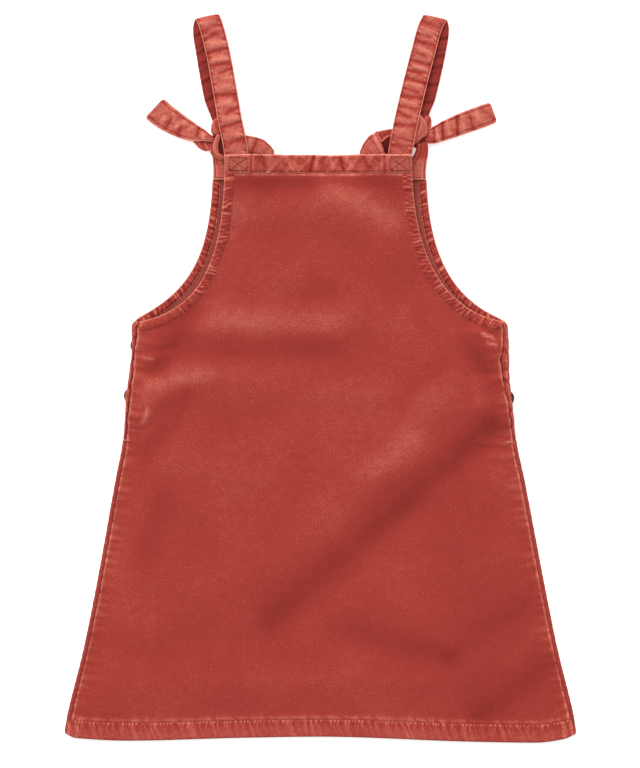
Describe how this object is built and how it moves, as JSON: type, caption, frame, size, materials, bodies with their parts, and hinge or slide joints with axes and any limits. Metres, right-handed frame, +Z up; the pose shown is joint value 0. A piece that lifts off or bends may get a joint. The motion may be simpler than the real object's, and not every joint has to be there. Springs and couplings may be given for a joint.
{
  "type": "pinafore dress",
  "caption": "Child's needlecord pinafore dress laid flat, back upwards, with shoulder straps tied in half bows to the front and buttoned side openings.",
  "frame": {"origin": "middle of the garment's outline, on the surface that it lies on", "axes": "+X towards the wearer's right as it lies face down, +Y from the hem up to the straps, +Z up off the surface, out of the back panel"},
  "size_m": [0.435, 0.6192, 0.0135],
  "materials": {
    "needlecord": "velvety needlecord, garment dyed brick red",
    "needlecord_inside": "flat woven wrong side, dull brick red",
    "needlecord_strap": "needlecord strap, worn paler at the edges",
    "needlecord_worn": "rolled needlecord edge, worn pale",
    "button": "semi-gloss dark brown"
  },
  "bodies": {
    "root": {"back_panel": "needlecord", "button_left_lower": "button", "button_left_upper": "button", "button_right_lower": "button", "button_right_upper": "button", "front_panel": "needlecord_inside", "knot_left": "needlecord_strap", "knot_right": "needlecord_strap", "loop_left": "needlecord_strap", "loop_right": "needlecord_strap", "placket_left": "needlecord_worn", "placket_right": "needlecord_worn", "strap_left": "needlecord_strap", "strap_right": "needlecord_strap", "tab_left": "needlecord_strap", "tab_right": "needlecord_strap", "tail_left": "needlecord_strap", "tail_right": "needlecord_strap"}
  },
  "joints": []
}
